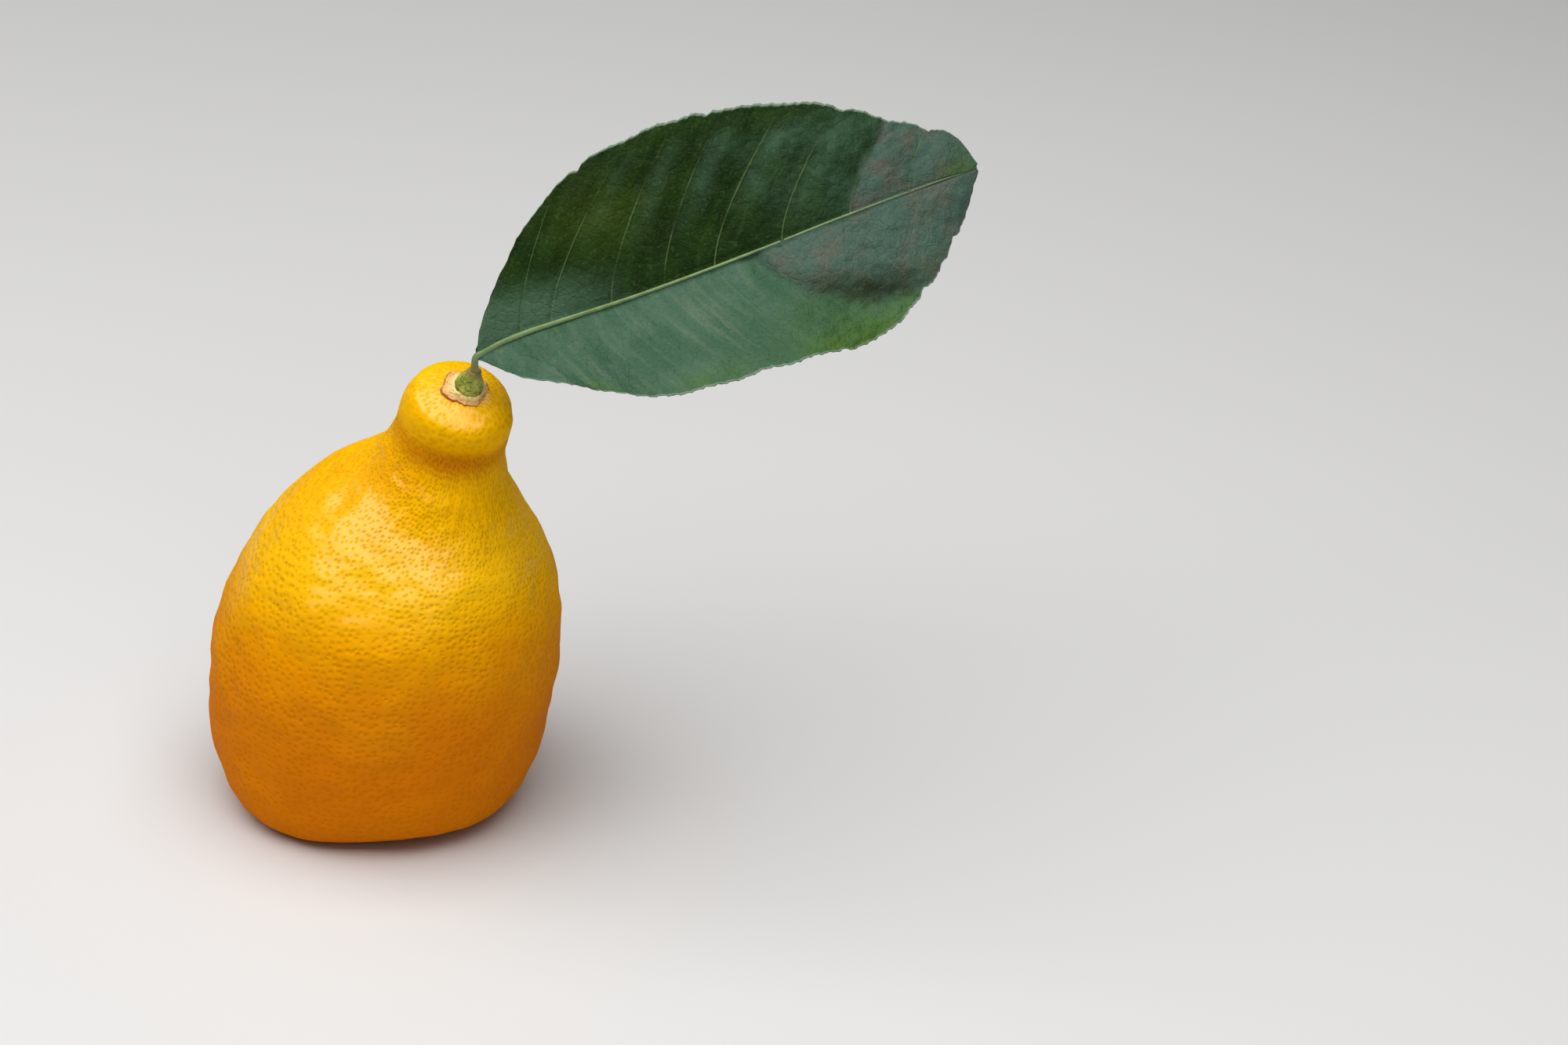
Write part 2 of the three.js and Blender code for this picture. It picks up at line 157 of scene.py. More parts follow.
def tilted(points, right, front):
    """Points turned about Y by right and then about X by front, in radians."""
    x, y, z = np.moveaxis(points, -1, 0)
    x, z = x * np.cos(right) + z * np.sin(right), z * np.cos(right) - x * np.sin(right)
    y, z = y * np.cos(front) - z * np.sin(front), y * np.sin(front) + z * np.cos(front)
    return np.stack([x, y, z], -1)


def fruit_skin(share, angle):
    """A ring of the slice's radius and swellings at each share of the way up, tilted as the slice leans."""
    x, y, up, wide, depth, right, front = np.moveaxis(along_rows(SLICES, share), -1, 0)
    radius = np.maximum(wide, 0) * FRUIT_RADIUS
    uneven = 0
    for direction, middle, spread, reach, height in SWELLINGS:
        near = bell(turn_from(direction, angle), np.radians(spread))
        uneven = uneven + height * near * bell(share * (len(SLICES) - 1) - middle, reach)
    radius = radius + uneven * np.minimum(radius / UNEVEN_FROM_RADIUS, 1)
    ring = np.stack([radius * np.cos(angle), radius * depth * np.sin(angle), 0 * radius], -1)
    points = tilted(ring, np.radians(right), np.radians(front)) + np.stack([x, y, up * FRUIT_HEIGHT], -1)
    points[..., 2] = np.maximum(points[..., 2], 0)
    return points


def waves(points, length, seed, stretch=(1, 1, 1), count=30):
    """Smooth noise of one scale, about -2 to 2: plane waves of nearly one length in random directions, added up."""
    draw = np.random.default_rng(seed)
    directions = draw.normal(size=(count, 3))
    directions /= np.linalg.norm(directions, axis=1, keepdims=True)
    turns = directions * (2 * np.pi / (length * draw.uniform(0.75, 1.35, count)))[:, None] / np.array(stretch)
    return np.sin(points @ turns.T + draw.uniform(0, 2 * np.pi, count)).sum(-1) * np.sqrt(2 / count)


def to_nearest(points, pitch, seed):
    """The distance to the nearest of many dots, one dropped at random in each cube of a lattice of that pitch."""
    repeat = 24
    drops = np.random.default_rng(seed).uniform(0.1, 0.9, (repeat, repeat, repeat, 3))
    cell = np.floor(points / pitch).astype(int)
    nearest = np.full(points.shape[:-1], np.inf)
    for step in np.ndindex(3, 3, 3):
        cube = cell + np.array(step) - 1
        dots = (cube + drops[tuple(np.moveaxis(cube % repeat, -1, 0))]) * pitch
        nearest = np.minimum(nearest, np.linalg.norm(points - dots, axis=-1))
    return nearest


def outward(points, closed):
    """Unit normals of a grid of points: the cross product of its differences along its columns and its rows."""
    down = np.gradient(points, axis=0)
    across = (np.roll(points, -1, 1) - np.roll(points, 1, 1)) if closed else np.gradient(points, axis=1)
    normal = np.cross(across, down)
    return normal / np.maximum(np.linalg.norm(normal, axis=-1, keepdims=True), 1e-9)


def ring_faces(rings, sides):
    """Quads between the neighbouring rings of a grid whose columns close into circles."""
    ring, side = np.meshgrid(np.arange(rings - 1), np.arange(sides), indexing="ij")
    here, after = ring * sides + side, ring * sides + (side + 1) % sides
    return np.stack([here, after, after + sides, here + sides], -1).reshape(-1, 4)


def add_piece(name, points, faces, finish, node, values):
    """A smooth mesh in metres from points in millimetres, with named values on its points, in place of a node."""
    mesh = bpy.data.meshes.new(name)
    mesh.from_pydata((np.asarray(points) / 1000).tolist(), [], faces)
    mesh.shade_smooth()
    for label, numbers in values.items():
        attribute = mesh.attributes.new(label, "FLOAT", "POINT")
        attribute.data.foreach_set("value", np.ravel(numbers).astype(np.float32))
    mesh.materials.append(finish)
    piece = bpy.data.objects.new(name, mesh)
    bpy.context.scene.collection.objects.link(piece)
    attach(piece, "root")
    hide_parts(node)


def closed_rings(rings, ends):
    """Points and faces of a skin made of rings, closed by a fan of triangles round a point at each end."""
    count, sides = rings.shape[:2]
    side = np.arange(sides)
    after = (side + 1) % sides
    last = (count - 1) * sides
    low = np.stack([np.full(sides, count * sides), after, side], -1)
    high = np.stack([np.full(sides, count * sides + 1), last + side, last + after], -1)
    points = np.vstack([rings.reshape(-1, 3), ends])
    return points, ring_faces(count, sides).tolist() + low.tolist() + high.tolist()


class Value:
    """One output in a material's nodes. Arithmetic on it adds Math nodes."""

    def __init__(self, finish, socket):
        self.finish, self.socket = finish, socket

    def math(self, operation, *values):
        return self.finish.node("ShaderNodeMath", {"operation": operation}, dict(enumerate(values)))

    def __add__(self, other):
        return self.math("ADD", self, other)

    def __sub__(self, other):
        return self.math("SUBTRACT", self, other)

    def __rsub__(self, other):
        return self.math("SUBTRACT", other, self)

    def __mul__(self, other):
        return self.math("MULTIPLY", self, other)

    __radd__ = __add__
    __rmul__ = __mul__


class Finish:
    """A procedural material on the Principled shader, whose unvarying values are set on the shader itself."""

    def __init__(self, name, **constants):
        self.material = bpy.data.materials.new(name)
        self.material.use_nodes = True
        self.shader = self.material.node_tree.nodes["Principled BSDF"]
        for socket, value in constants.items():
            self.shader.inputs[socket.replace("_", " ")].default_value = value

    def node(self, kind, settings, inputs, output=0):
        """Any node: its settings are set first, then the values or the links of its sockets."""
        node = self.material.node_tree.nodes.new(kind)
        for setting, value in settings.items():
            setattr(node, setting, value)
        for socket, value in inputs.items():
            self.feed(node.inputs[socket], value)
        return Value(self, node.outputs[output])

    def feed(self, socket, value):
        if isinstance(value, Value):
            self.material.node_tree.links.new(value.socket, socket)
        else:
            socket.default_value = value

    def place(self):
        """Where a point of the piece is, in metres."""
        return self.node("ShaderNodeTexCoord", {}, {}, "Object")

    def named(self, label):
        """The value of that name on the mesh's points."""
        return self.node("ShaderNodeAttribute", {"attribute_name": label}, {}, "Fac")

    def noise(self, scale, detail=3.0, at=None):
        """Soft spots from 0 to 1, that many to a metre, with that many layers of finer ones on them."""
        at = at or self.place()
        return self.node("ShaderNodeTexNoise", {}, {"Vector": at, "Scale": scale, "Detail": detail})

    def cell_edges(self, scale):
        """How far a point is from the nearest wall between the cells of a web, in shares of a cell."""
        inputs = {"Vector": self.place(), "Scale": scale}
        return self.node("ShaderNodeTexVoronoi", {"feature": "DISTANCE_TO_EDGE"}, inputs)

    def ramp(self, value, start, end):
        """0 before start and 1 past end, with a smooth S between them."""
        settings = {"interpolation_type": "SMOOTHSTEP"}
        return self.node("ShaderNodeMapRange", settings, {0: value, 1: start, 2: end})

    def mix(self, share, first, second):
        """The first colour where share is 0 and the second where it is 1."""
        return self.node("ShaderNodeMix", {"data_type": "RGBA"}, {0: share, 6: first, 7: second}, 2)

    def bump(self, height, distance, strength=1.0, over=None):
        """A normal for skin that rises by that distance, in metres, where height is 1, over another bump or none."""
        inputs = {"Height": height, "Distance": distance, "Strength": strength}
        return self.node("ShaderNodeBump", {}, {**inputs, "Normal": over} if over else inputs)

    def paint(self, **sockets):
        """Joins values to the shader's sockets of those names, and hands the material over."""
        for socket, value in sockets.items():
            self.feed(self.shader.inputs[socket.replace("_", " ")], value)
        return self.material


def rgb(red, green, blue):
    """A colour given as it looks on a screen, 0 to 255, in the linear numbers that the shader takes."""
    screen = np.array([red, green, blue]) / 255
    linear = np.where(screen <= 0.04045, screen / 12.92, ((screen + 0.055) / 1.055) ** 2.4)
    return (*linear.tolist(), 1.0)


def fruit_grid():
    """Rings an equal way apart along the skin, moved along its normal by lumps, folds on the shoulder and lines
    round the neck, less a bell-shaped pit at each dot, with the values that the finish reads, such as the wax.
    """
    fine = np.linspace(0, 1, FINE_STEPS)
    lines = fruit_skin(fine[:, None], np.radians([0, 90, 180, 270])[None, :])
    length = np.concatenate([[0], np.linalg.norm(np.diff(lines, axis=0), axis=-1).mean(1).cumsum()])
    rise = np.linspace(0, length[-1], FRUIT_RINGS + 2)[1:-1]
    share = np.interp(rise, length, fine)[:, None]
    angle = np.linspace(0, 2 * np.pi, FRUIT_SIDES, endpoint=False)[None, :]
    points = fruit_skin(share, angle)
    slices = share * (len(SLICES) - 1) + 0 * angle
    height = points[..., 2]
    neck = bell(slices - NECK_SLICE, NECK_SPREAD)
    knob = ramp(slices, KNOB_FROM_SLICE, KNOB_TO_SLICE)
    shoulder = bell(height - SHOULDER_HEIGHT, SHOULDER_SPREAD)
    crease = bell(slices - CREASE_SLICE, CREASE_SPREAD)
    crease = crease * bell(turn_from(CREASE_DIRECTION, angle), np.radians(CREASE_TURN))
    normal = outward(points, True)
    wax = ramp(normal[..., 2], *WAX_UP) * ramp(-normal[..., 1], *WAX_FRONT)
    lumps = LUMP_HEIGHT * waves(points, LUMP_LENGTH, 1)
    lumps = lumps + DENT_HEIGHT * waves(points, DENT_LENGTH, 2) * (1 - KNOB_DENTS_LOST * knob)
    lumps = lumps + KNOB_LUMP_HEIGHT * knob * waves(points, KNOB_LUMP_LENGTH, 5)
    folds = FOLD_HEIGHT * shoulder * (1 - knob) * waves(points, LINE_LENGTH, 3, FOLD_STRETCH)
    neck_lines = NECK_LINE_HEIGHT * neck * waves(points, LINE_LENGTH, 4, NECK_LINE_STRETCH)
    pit = bell(to_nearest(points, PIT_PITCH, 6), PIT_RADIUS)
    pit = pit * (1 - KNOB_PITS_LOST * knob) * (1 - NECK_PITS_LOST * neck) * ramp(height, *PITS_SET_IN)
    relief = lumps + folds + neck_lines - PIT_DEPTH * pit
    relief = relief * ramp(height, *RELIEF_SETS_IN) - SKIN_INSET
    points = points + normal * relief[..., None]
    points[..., 2] = np.maximum(points[..., 2], 0)
    smooth = np.maximum(KNOB_CLOSED * knob, NECK_CLOSED * neck)
    all_round = 0 * slices
    values = {"pit": pit, "crease": crease, "knob": knob, "smooth": smooth, "shoulder": shoulder, "wax": wax}
    values["rise"] = rise[:, None] + all_round
    values["to_right"], values["to_front"] = all_round + np.cos(angle), all_round - np.sin(angle)
    return points, values


def pore_cells(rind, radius):
    """How far a point is from the nearest pore, as a share of their pitch, on the skin unrolled at that radius."""
    turn = rind.named("to_right")
    turn = turn.math("ARCTAN2", turn, rind.named("to_front"))
    flat = rind.node("ShaderNodeCombineXYZ", {}, {0: turn * radius, 1: rind.named("rise")})
    inputs = {"Vector": flat, "Scale": 1 / PORE_PITCH, "Randomness": 0.8}
    return rind.node("ShaderNodeTexVoronoi", {"voronoi_dimensions": "2D"}, inputs)


def rind_finish():
    """Golden rind, shiniest on top and in front. Painted shade deepens it to amber towards the base, in the crease
    under the knob and in its pores and pits, and a painted highlight turns it yellower across the shoulder.
    """
    rind = Finish("lemon_rind", IOR=1.42, Specular_IOR_Level=0.0, Coat_Roughness=0.28, Subsurface_Weight=0.05,
                  Subsurface_Radius=(1.0, 0.6, 0.1), Subsurface_Scale=0.002)
    gold, painted_shade_amber, orange = rgb(244, 180, 0), rgb(217, 119, 0), rgb(226, 134, 0)
    fleck_gold, knob_gold, painted_highlight_gold = rgb(250, 196, 6), rgb(250, 194, 0), rgb(250, 202, 8)
    crease_shade_brown, pore_brown = rgb(190, 98, 0), rgb(206, 128, 0)
    knob, shoulder = rind.named("knob"), rind.named("shoulder")

    height = rind.node("ShaderNodeSeparateXYZ", {}, {0: rind.place()}, 2)
    # Painted shade: the rind deepens to amber towards the base
    low = rind.ramp(height + (rind.noise(60, 3) - 0.5) * UNEVEN_EDGE, GOLD_ABOVE, AMBER_BELOW)
    clouds = rind.ramp(rind.noise(70, 4), 0.4, 0.75)
    flecks = rind.ramp(rind.noise(300, 3), 0.5, 0.75) * (1 - low)
    colour = rind.mix(low, gold, painted_shade_amber)
    colour = rind.mix(clouds * 0.35, colour, orange)
    colour = rind.mix(flecks * 0.25, colour, fleck_gold)
    colour = rind.mix(knob * 0.5, colour, knob_gold)
    # Painted highlight: the rind turns yellower across the shoulder, where the soft box's highlight falls
    colour = rind.mix(shoulder * 0.45, colour, painted_highlight_gold)
    # Painted shade in the crease under the knob's overhanging lip
    colour = rind.mix(rind.named("crease") * 0.75, colour, crease_shade_brown)

    body_pores, knob_pores = (pore_cells(rind, radius) for radius in (BODY_RADIUS, KNOB_RADIUS))
    distance = body_pores + (knob_pores - body_pores - 0.07) * knob + (rind.noise(400, 2) - 0.5) * 0.2
    spots = rind.ramp(rind.noise(130, 2), 0.26, 0.5)
    plain = (1 - rind.named("smooth")) * (1 - knob * (1 - spots))
    pore = rind.ramp(distance, 0.32, 0.14) * plain
    deeper = rind.ramp(rind.noise(110, 2), 0.2, 0.7) * (1 - 0.5 * knob)
    dimple = rind.ramp(distance, 0.6, 0.0) * plain * deeper
    # Painted shade in the pores and the rind's pits, stronger on the knob
    painted_pore_shade = pore * (0.13 + 0.18 * knob) + rind.named("pit") * 0.1
    colour = rind.mix(painted_pore_shade, colour, pore_brown)

    roughness = 0.36 + rind.noise(700, 2) * 0.1 + pore * 0.25
    stretched = rind.node("ShaderNodeMapping", {}, {"Vector": rind.place(), "Scale": (0.35, 0.35, 1.6)})
    wrinkles = rind.bump(rind.noise(420, 3, stretched) * (0.35 + shoulder), 0.0005, 0.5)
    grain = rind.bump(rind.noise(2600, 2), 0.00004, over=wrinkles)
    pits = rind.bump(1 - dimple - pore * 0.4, 0.00015, over=grain)
    gloss = (0.08 + 0.87 * rind.named("wax")) * (1 - pore)
    return rind.paint(Base_Color=colour, Roughness=roughness, Coat_Weight=gloss, Normal=pits)


fruit_points, fruit_values = fruit_grid()
blossom_end = [*SLICES[0, :2], 0]
fruit_ends = np.array([blossom_end, fruit_points[-1].mean(0)])
points, faces = closed_rings(fruit_points, fruit_ends)
for label, numbers in fruit_values.items():
    fruit_values[label] = np.append(numbers.ravel(), [numbers[0].mean(), numbers[-1].mean()])
add_piece("fruit_skin", points, faces, rind_finish(), "fruit", fruit_values)

# The calyx
# The corky collar that held the flower's petals, dried tan on the knob. Five blunt lobes lie on the rind, and a
# paler rim stands round the foot of the stem.
SEAT_RIGHT, SEAT_FRONT = np.radians(SLICES[-1, 5:])
SEAT = np.array([SLICES[-1, 0], SLICES[-1, 1], SLICES[-1, 2] * FRUIT_HEIGHT])
STEM_FOOT = np.array([0.25, -0.45])
STEM_TIP = np.array([0.4, -0.1])
STEM_RADIUS = 2.45
CALYX_RADIUS = 4.1
CALYX_BOTTOM = -0.1
CALYX_RINGS, CALYX_SIDES = 72, 240
LOBES = [[26, 1.04], [81, 1.0], [140, 1.09], [205, 1.12], [297, 0.98]]
LOBE_SPREAD = 34
BETWEEN_LOBES = 0.84

# Ripples round the edge: height, how many there are and where they start; and the crumbled skin's waves: height,
# length and seed
RAGGED_EDGE = [[0.09, 11, 1], [0.06, 23, 0]]
CALYX_CRUMBLE = [[0.05, 1.1, 11], [0.025, 0.5, 12]]

# The collar's section: place between the foot of the stem, 0, and the edge, 1, and height over the underside
COLLAR_SECTION = [
    [0.0, 0.0],
    [0.9, 0.05],
    [1.0, 0.25],
    [0.97, 0.48],
    [0.8, 0.66],
    [0.5, 0.98],
    [0.3, 1.5],
    [0.12, 1.75],
    [0.0, 1.6],
    [-0.05, 0.8],
]


def on_seat(points):
    """Points drawn over the knob's seat, +Z out of the knob, put in their place on the fruit."""
    return tilted(points, SEAT_RIGHT, SEAT_FRONT) + SEAT


def calyx_skin(share, angle):
    """The collar's section swept round the stem's foot, its edge reaching out to the nearest lobe."""
    out, up = np.moveaxis(along_rows(COLLAR_SECTION, share), -1, 0)
    reach = BETWEEN_LOBES + 0 * angle
    for direction, share_out in LOBES:
        lobe = (share_out - BETWEEN_LOBES) * bell(turn_from(direction, angle), np.radians(LOBE_SPREAD))
        reach = np.maximum(reach, BETWEEN_LOBES + lobe)
    ragged = sum(height * np.sin(number * angle + start) for height, number, start in RAGGED_EDGE)
    radius = STEM_RADIUS + (CALYX_RADIUS * reach + ragged - STEM_RADIUS) * out
    centre = STEM_FOOT * (1 - out[..., None])
    across = np.stack([radius * np.cos(angle), radius * np.sin(angle)], -1) + centre
    return np.concatenate([across, (CALYX_BOTTOM + up + 0 * angle)[..., None]], -1)


def roughened(points, kinds):
    """A closed grid moved along its normals by the sum of its kinds of waves: height, length and seed of each."""
    rough = sum(height * waves(points, length, seed) for height, length, seed in kinds)
    return points + outward(points, True) * rough[..., None]


def calyx_finish():
    """Tan cork: cream where the rim is fresh, browner out to the edge, and rust specks."""
    cork = Finish("calyx_cork", Roughness=0.8, Specular_IOR_Level=0.3)
    tan, light_tan, cream = rgb(214, 158, 92), rgb(232, 184, 122), rgb(236, 216, 144)
    brown, rust = rgb(168, 96, 34), rgb(150, 76, 30)
    out = cork.named("out")
    colour = cork.mix(cork.ramp(cork.noise(700, 4), 0.35, 0.65), tan, light_tan)
    colour = cork.mix(cork.ramp(out, 0.7, 0.3) * 0.9, colour, cream)
    colour = cork.mix(cork.ramp(out, 0.86, 0.98) * 0.9, colour, brown)
    specks = cork.ramp(cork.noise(1500, 3), 0.6, 0.68) * cork.ramp(out, 0.3, 0.6)
    colour = cork.mix(specks * 0.7, colour, rust)
    return cork.paint(Base_Color=colour, Normal=cork.bump(cork.noise(2200, 4), 0.00025))


calyx_share = np.linspace(0, 1, CALYX_RINGS)[:, None]
calyx_angle = np.linspace(0, 2 * np.pi, CALYX_SIDES, endpoint=False)[None, :]
calyx_points = roughened(calyx_skin(calyx_share, calyx_angle), CALYX_CRUMBLE)
calyx_ends = np.array([[*STEM_FOOT, CALYX_BOTTOM], [*STEM_FOOT, CALYX_BOTTOM + COLLAR_SECTION[-1][1]]])
points, faces = closed_rings(calyx_points, calyx_ends)
out = along_rows(COLLAR_SECTION, calyx_share)[..., 0] + 0 * calyx_angle
calyx_values = {"out": np.append(out.ravel(), [0, 0])}
add_piece("calyx_collar", on_seat(points), faces, calyx_finish(), "calyx", calyx_values)

# The stem
# The green cone of wood that is left when the fruit is clipped, bulging at its foot and ribbed towards its tip,
# where a brown ring marks the joint of the leaf's stalk.
STEM_BOTTOM = 1.0
STEM_HEIGHT = 4.7
STEM_CIRCLES, STEM_SIDES = 80, 140
RIB_COUNT, RIB_DEPTH, RIB_START = 7, 0.03, 1.3
SWELL_COUNT, SWELL_DEPTH = 3, 0.015
BARK_WAVES = [[0.03, 1.2, 21], [0.015, 0.5, 22]]

# Each ring of the cone: height and radius, as shares of the cone's
STEM_RINGS = [
    [0.0, 0.93],
    [0.08, 0.97],
    [0.16, 1.0],
    [0.28, 1.0],
    [0.4, 0.93],
    [0.54, 0.81],
    [0.68, 0.68],
    [0.82, 0.56],
    [0.92, 0.48],
    [0.97, 0.42],
    [1.0, 0.25],
]


def stem_skin(share, angle):
    """Rings that narrow up the cone, drawn to its leaning tip, with soft ribs that grow towards the tip."""
    up, wide = np.moveaxis(along_rows(STEM_RINGS, share), -1, 0)
    ribs = RIB_DEPTH * up * np.sin(RIB_COUNT * angle + RIB_START) + SWELL_DEPTH * np.sin(SWELL_COUNT * angle)
    radius = STEM_RADIUS * wide * (1 + ribs)
    centre = STEM_FOOT + (STEM_TIP - STEM_FOOT) * up[..., None] ** 2
    across = np.stack([radius * np.cos(angle), radius * np.sin(angle)], -1) + centre
    return np.concatenate([across, (STEM_BOTTOM + STEM_HEIGHT * up + 0 * angle)[..., None]], -1)


def stem_finish():
    """Yellow-green bark with darker olive blotches and specks, brown at the joint on top."""
    bark = Finish("stem_bark", Roughness=0.55)
    straw, green, olive, brown = rgb(172, 174, 74), rgb(128, 138, 38), rgb(70, 84, 18), rgb(126, 110, 62)
    colour = bark.mix(bark.ramp(bark.noise(420, 4), 0.35, 0.65), straw, green)
    colour = bark.mix(bark.ramp(bark.noise(1500, 3), 0.53, 0.64) * 0.7, colour, olive)
    colour = bark.mix(bark.ramp(bark.named("up"), 0.74, 0.95) * 0.75, colour, brown)
    return bark.paint(Base_Color=colour, Normal=bark.bump(bark.noise(1800, 3), 0.0002))


stem_share = np.linspace(0, 1, STEM_CIRCLES)[:, None]
stem_angle = np.linspace(0, 2 * np.pi, STEM_SIDES, endpoint=False)[None, :]
stem_points = roughened(stem_skin(stem_share, stem_angle), BARK_WAVES)
stem_top = np.array([*STEM_TIP, STEM_BOTTOM + STEM_HEIGHT])
stem_ends = np.array([[*STEM_FOOT, STEM_BOTTOM], stem_top])
points, faces = closed_rings(stem_points, stem_ends)
up = along_rows(STEM_RINGS, stem_share)[..., 0] + 0 * stem_angle
stem_values = {"up": np.append(up.ravel(), [0, 1])}
add_piece("stem_stub", on_seat(points), faces, stem_finish(), "stem", stem_values)

# The leaf's blade
# One thin, leathery blade that shows its pale underside to the front. Its halves fold along the midrib, side veins
# stand out of it with puckered skin between them, and its margin is finely scalloped and nicked, with a painted pale
# rim light.
LEAF_PLACE = np.array([18.1, -9.0, 93.3])
LEAF_LEAN = np.radians(63)
LEAF_RISE = np.radians(24.3)
LEAF_LENGTH = 94.0
BLADE_THICKNESS, EDGE_THICKNESS = 0.42, 0.16
LEAF_ROWS, HALF_COLUMNS = 330, 66
TIP_GAP = 0.03

# Each row follows a side vein: where it leaves the midrib, how many veins lie behind it, the midrib's own bend
# across, and where it meets the upper and the lower margin, along and across
VEIN_ROWS = np.array([
    [0.0, 0.0, 0.0, 0.5, 0.8, 0.5, 0.6],
    [1.4, 0.25, 0.3, 2.3, 3.9, 2.2, 2.2],
    [3.1, 0.5, 0.5, 5.6, 7.7, 3.9, 3.8],
    [4.6, 0.7, 0.7, 9.4, 11.7, 5.6, 5.3],
    [6.2, 0.85, 0.8, 15.0, 16.8, 8.4, 7.5],
    [9.0, 1.0, 0.8, 23.8, 22.3, 13.2, 10.2],
    [11.6, 1.5, 0.7, 31.6, 24.8, 16.8, 12.5],
    [14.6, 2.0, 0.6, 38.8, 25.7, 20.8, 15.0],
    [20.0, 2.5, 0.2, 43.2, 25.8, 28.0, 18.4],
    [25.6, 3.0, -0.2, 47.2, 25.7, 35.6, 20.1],
    [35.3, 4.0, -0.5, 55.6, 24.7, 46.0, 20.7],
    [44.5, 5.0, -0.6, 66.0, 22.1, 55.8, 21.6],
    [57.0, 6.0, -0.4, 74.6, 18.5, 66.6, 22.1],
    [69.8, 7.0, -0.1, 82.0, 13.6, 77.0, 17.4],
    [81.0, 8.0, 0.1, 88.2, 10.0, 85.2, 10.8],
    [88.0, 8.6, 0.1, 92.6, 6.4, 90.2, 5.6],
    [94.0, 9.0, 0.0, 94.6, 0.8, 94.3, 0.4],
])

# The blade's form: how its veins curve, how high it arches and how far its tip drops, how far its margin reaches out
# and its skin swells between two veins, and how its margin swings
VEIN_CURVE = 1.35
ARCH_HEIGHT, TIP_DROP = 5.5, 12
MARGIN_REACH, SWELL_HEIGHT = 0.35, 0.45
SWING_UPPER, SWING_LOWER, SWING_LENGTH = 0.65, 1.3, 24
FULL_FORM_ACROSS = 6
MARGIN_CROWDING = 0.28
EDGE_POWER, SCALLOP_POWER = 10, 14

# How each half slopes from the midrib: its slope at the foot, what it loses by the tip, and from which share of the
# length, and how gently, the lower half flattens; and how round the fold along the midrib is
UPPER_SLOPE, UPPER_LOSS = 0.1, 0.28
LOWER_SLOPE, LOWER_LOSS, FLATTER_FROM, FLATTER_EASE = 0.85, 0.95, 0.35, 0.36
MIDRIB_ROUND = 2

# The crease in the lower half: where it leaves the midrib, how gently, how far across it ends, its depth and width,
# and between which places along the leaf it is full, with how gentle a start and an end
TUCK_FROM, TUCK_EASE, TUCK_ACROSS, TUCK_DEPTH, TUCK_WIDTH = 50, 9, 18, 1.7, 3.2
TUCK_FULL_FROM, TUCK_START, TUCK_FULL_TO, TUCK_END = 54, 4, 72, 8

# Scallops in the margin: height and radians to a millimetre
SCALLOPS = [[0.1, 2.9], [0.06, 6.3]]

# The side veins: how strong they are in the lower half, over which share of the way out they fade, over how much of
# the first one they begin, and the widest gap that counts between two, in millimetres
LOWER_VEINS = 0.4
VEINS_FADE, VEINS_BEGIN = (0.72, 0.96), (0.5, 0.9)
WIDEST_GAP = 20

# The relief on the blade, in millimetres: ridges on the side veins, the sag between them and how it grows, two kinds
# of puckers, each with its height, length and seed, and the furrow that lies this share of the way out
RIDGE_HEIGHT, RIDGE_WIDTH = 0.1, 0.32
SAG_HEIGHT, SAG_GROWTH = 0.14, 0.16
FINE_PUCKERS, WIDE_PUCKERS = [0.03, 2.6, 31], [0.1, 7, 32]
FURROW_DEPTH, FURROW_PLACE, FURROW_WIDTH = 0.16, 0.0375, 0.0175

# Nicks in the margin: distance along, half (1 upper, -1 lower), depth and width
NICKS = [
    [28.7, 1, 0.9, 0.7],
    [52.6, 1, 0.7, 0.8],
    [75.5, 1, 0.5, 1.0],
    [88.5, 1, 0.7, 0.6],
    [92.6, -1, 0.8, 0.5],
    [91.0, -1, 0.5, 0.5],
    [85.4, -1, 0.6, 0.6],
    [81.8, -1, 0.5, 0.5],
    [77.1, -1, 0.6, 0.6],
    [73.6, -1, 0.4, 0.5],
    [60.0, -1, 0.3, 0.6],
    [16.4, -1, 0.4, 1.2],
]


def risen(points, angle):
    """Points turned about Z by an angle in radians."""
    x, y, z = np.moveaxis(points, -1, 0)
    return np.stack([x * np.cos(angle) - y * np.sin(angle), x * np.sin(angle) + y * np.cos(angle), z], -1)


def in_leaf(points):
    """Points drawn in the leaf's own flat, +X along its midrib and +Z out of its face, put in their place."""
    return tilted(risen(points, LEAF_RISE), 0, LEAF_LEAN) + LEAF_PLACE


def tuck_line(x):
    """How far across the lower half's crease lies: it leaves the midrib and eases out to its full way across."""
    return TUCK_ACROSS * (1 - np.exp(-np.maximum(x - TUCK_FROM, 0) / TUCK_EASE))


